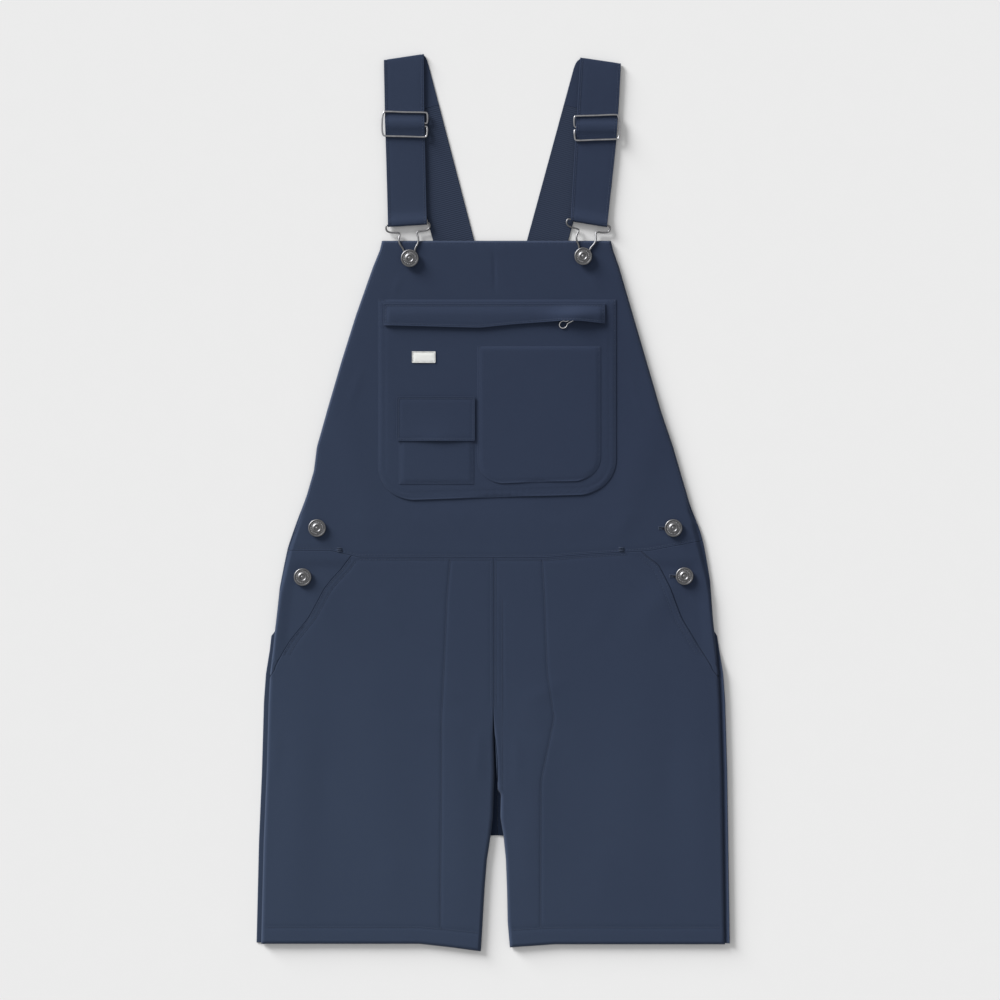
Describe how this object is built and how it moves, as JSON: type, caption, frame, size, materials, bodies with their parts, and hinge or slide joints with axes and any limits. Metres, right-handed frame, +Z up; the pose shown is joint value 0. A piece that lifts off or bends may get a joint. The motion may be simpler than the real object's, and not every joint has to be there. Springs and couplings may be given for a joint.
{
  "type": "shortalls",
  "caption": "Bib-overall shorts in plain navy cloth laid flat, with wire strap sliders, bib hooks, metal buttons and a zipped bib pocket.",
  "frame": {"origin": "middle of the garment's bounding box, on the surface it lies on", "axes": "+Z up, out of the garment's front; +Y along the garment, from the hems towards the shoulder turns of the straps; +X to the viewer's right, seen from above"},
  "size_m": [0.4965, 0.9415, 0.0131],
  "materials": {
    "cloth": "plain navy woven cloth, matte",
    "elastic": "navy ribbed elastic webbing",
    "label": "white woven label, blank",
    "gunmetal": "antique nickel",
    "silver": "bright wire"
  },
  "bodies": {
    "garment": {"front_bib": "cloth", "front_leg_left": "cloth", "front_leg_right": "cloth", "pocket_facing_left": "cloth", "pocket_facing_right": "cloth", "bib_pocket": "cloth", "inner_pocket": "cloth", "small_pocket": "cloth", "small_pocket_flap": "cloth", "bib_flap": "cloth", "zip_tape": "cloth", "back_yoke": "cloth", "back_leg_left": "cloth", "back_leg_right": "cloth", "front_strap_left": "cloth", "front_strap_right": "cloth", "elastic_left": "elastic", "elastic_right": "elastic", "label": "label", "bib_button_left": "gunmetal", "bib_button_right": "gunmetal", "side_button_upper_left": "gunmetal", "side_button_lower_left": "gunmetal", "side_button_upper_right": "gunmetal", "side_button_lower_right": "gunmetal", "bib_hook_left": "gunmetal", "bib_hook_right": "gunmetal", "strap_slider_left": "gunmetal", "strap_slider_right": "gunmetal", "zip_slider": "silver"},
    "pull": {"zip_pull": "silver"}
  },
  "joints": [
    {"name": "zip_pull_swing", "type": "hinge", "parent": "garment", "child": "pull", "pos_m": [0.08692, 0.19328, 0.0095], "axis": [-0.454, 0.891, 0], "range_deg": [0, 8]}
  ]
}
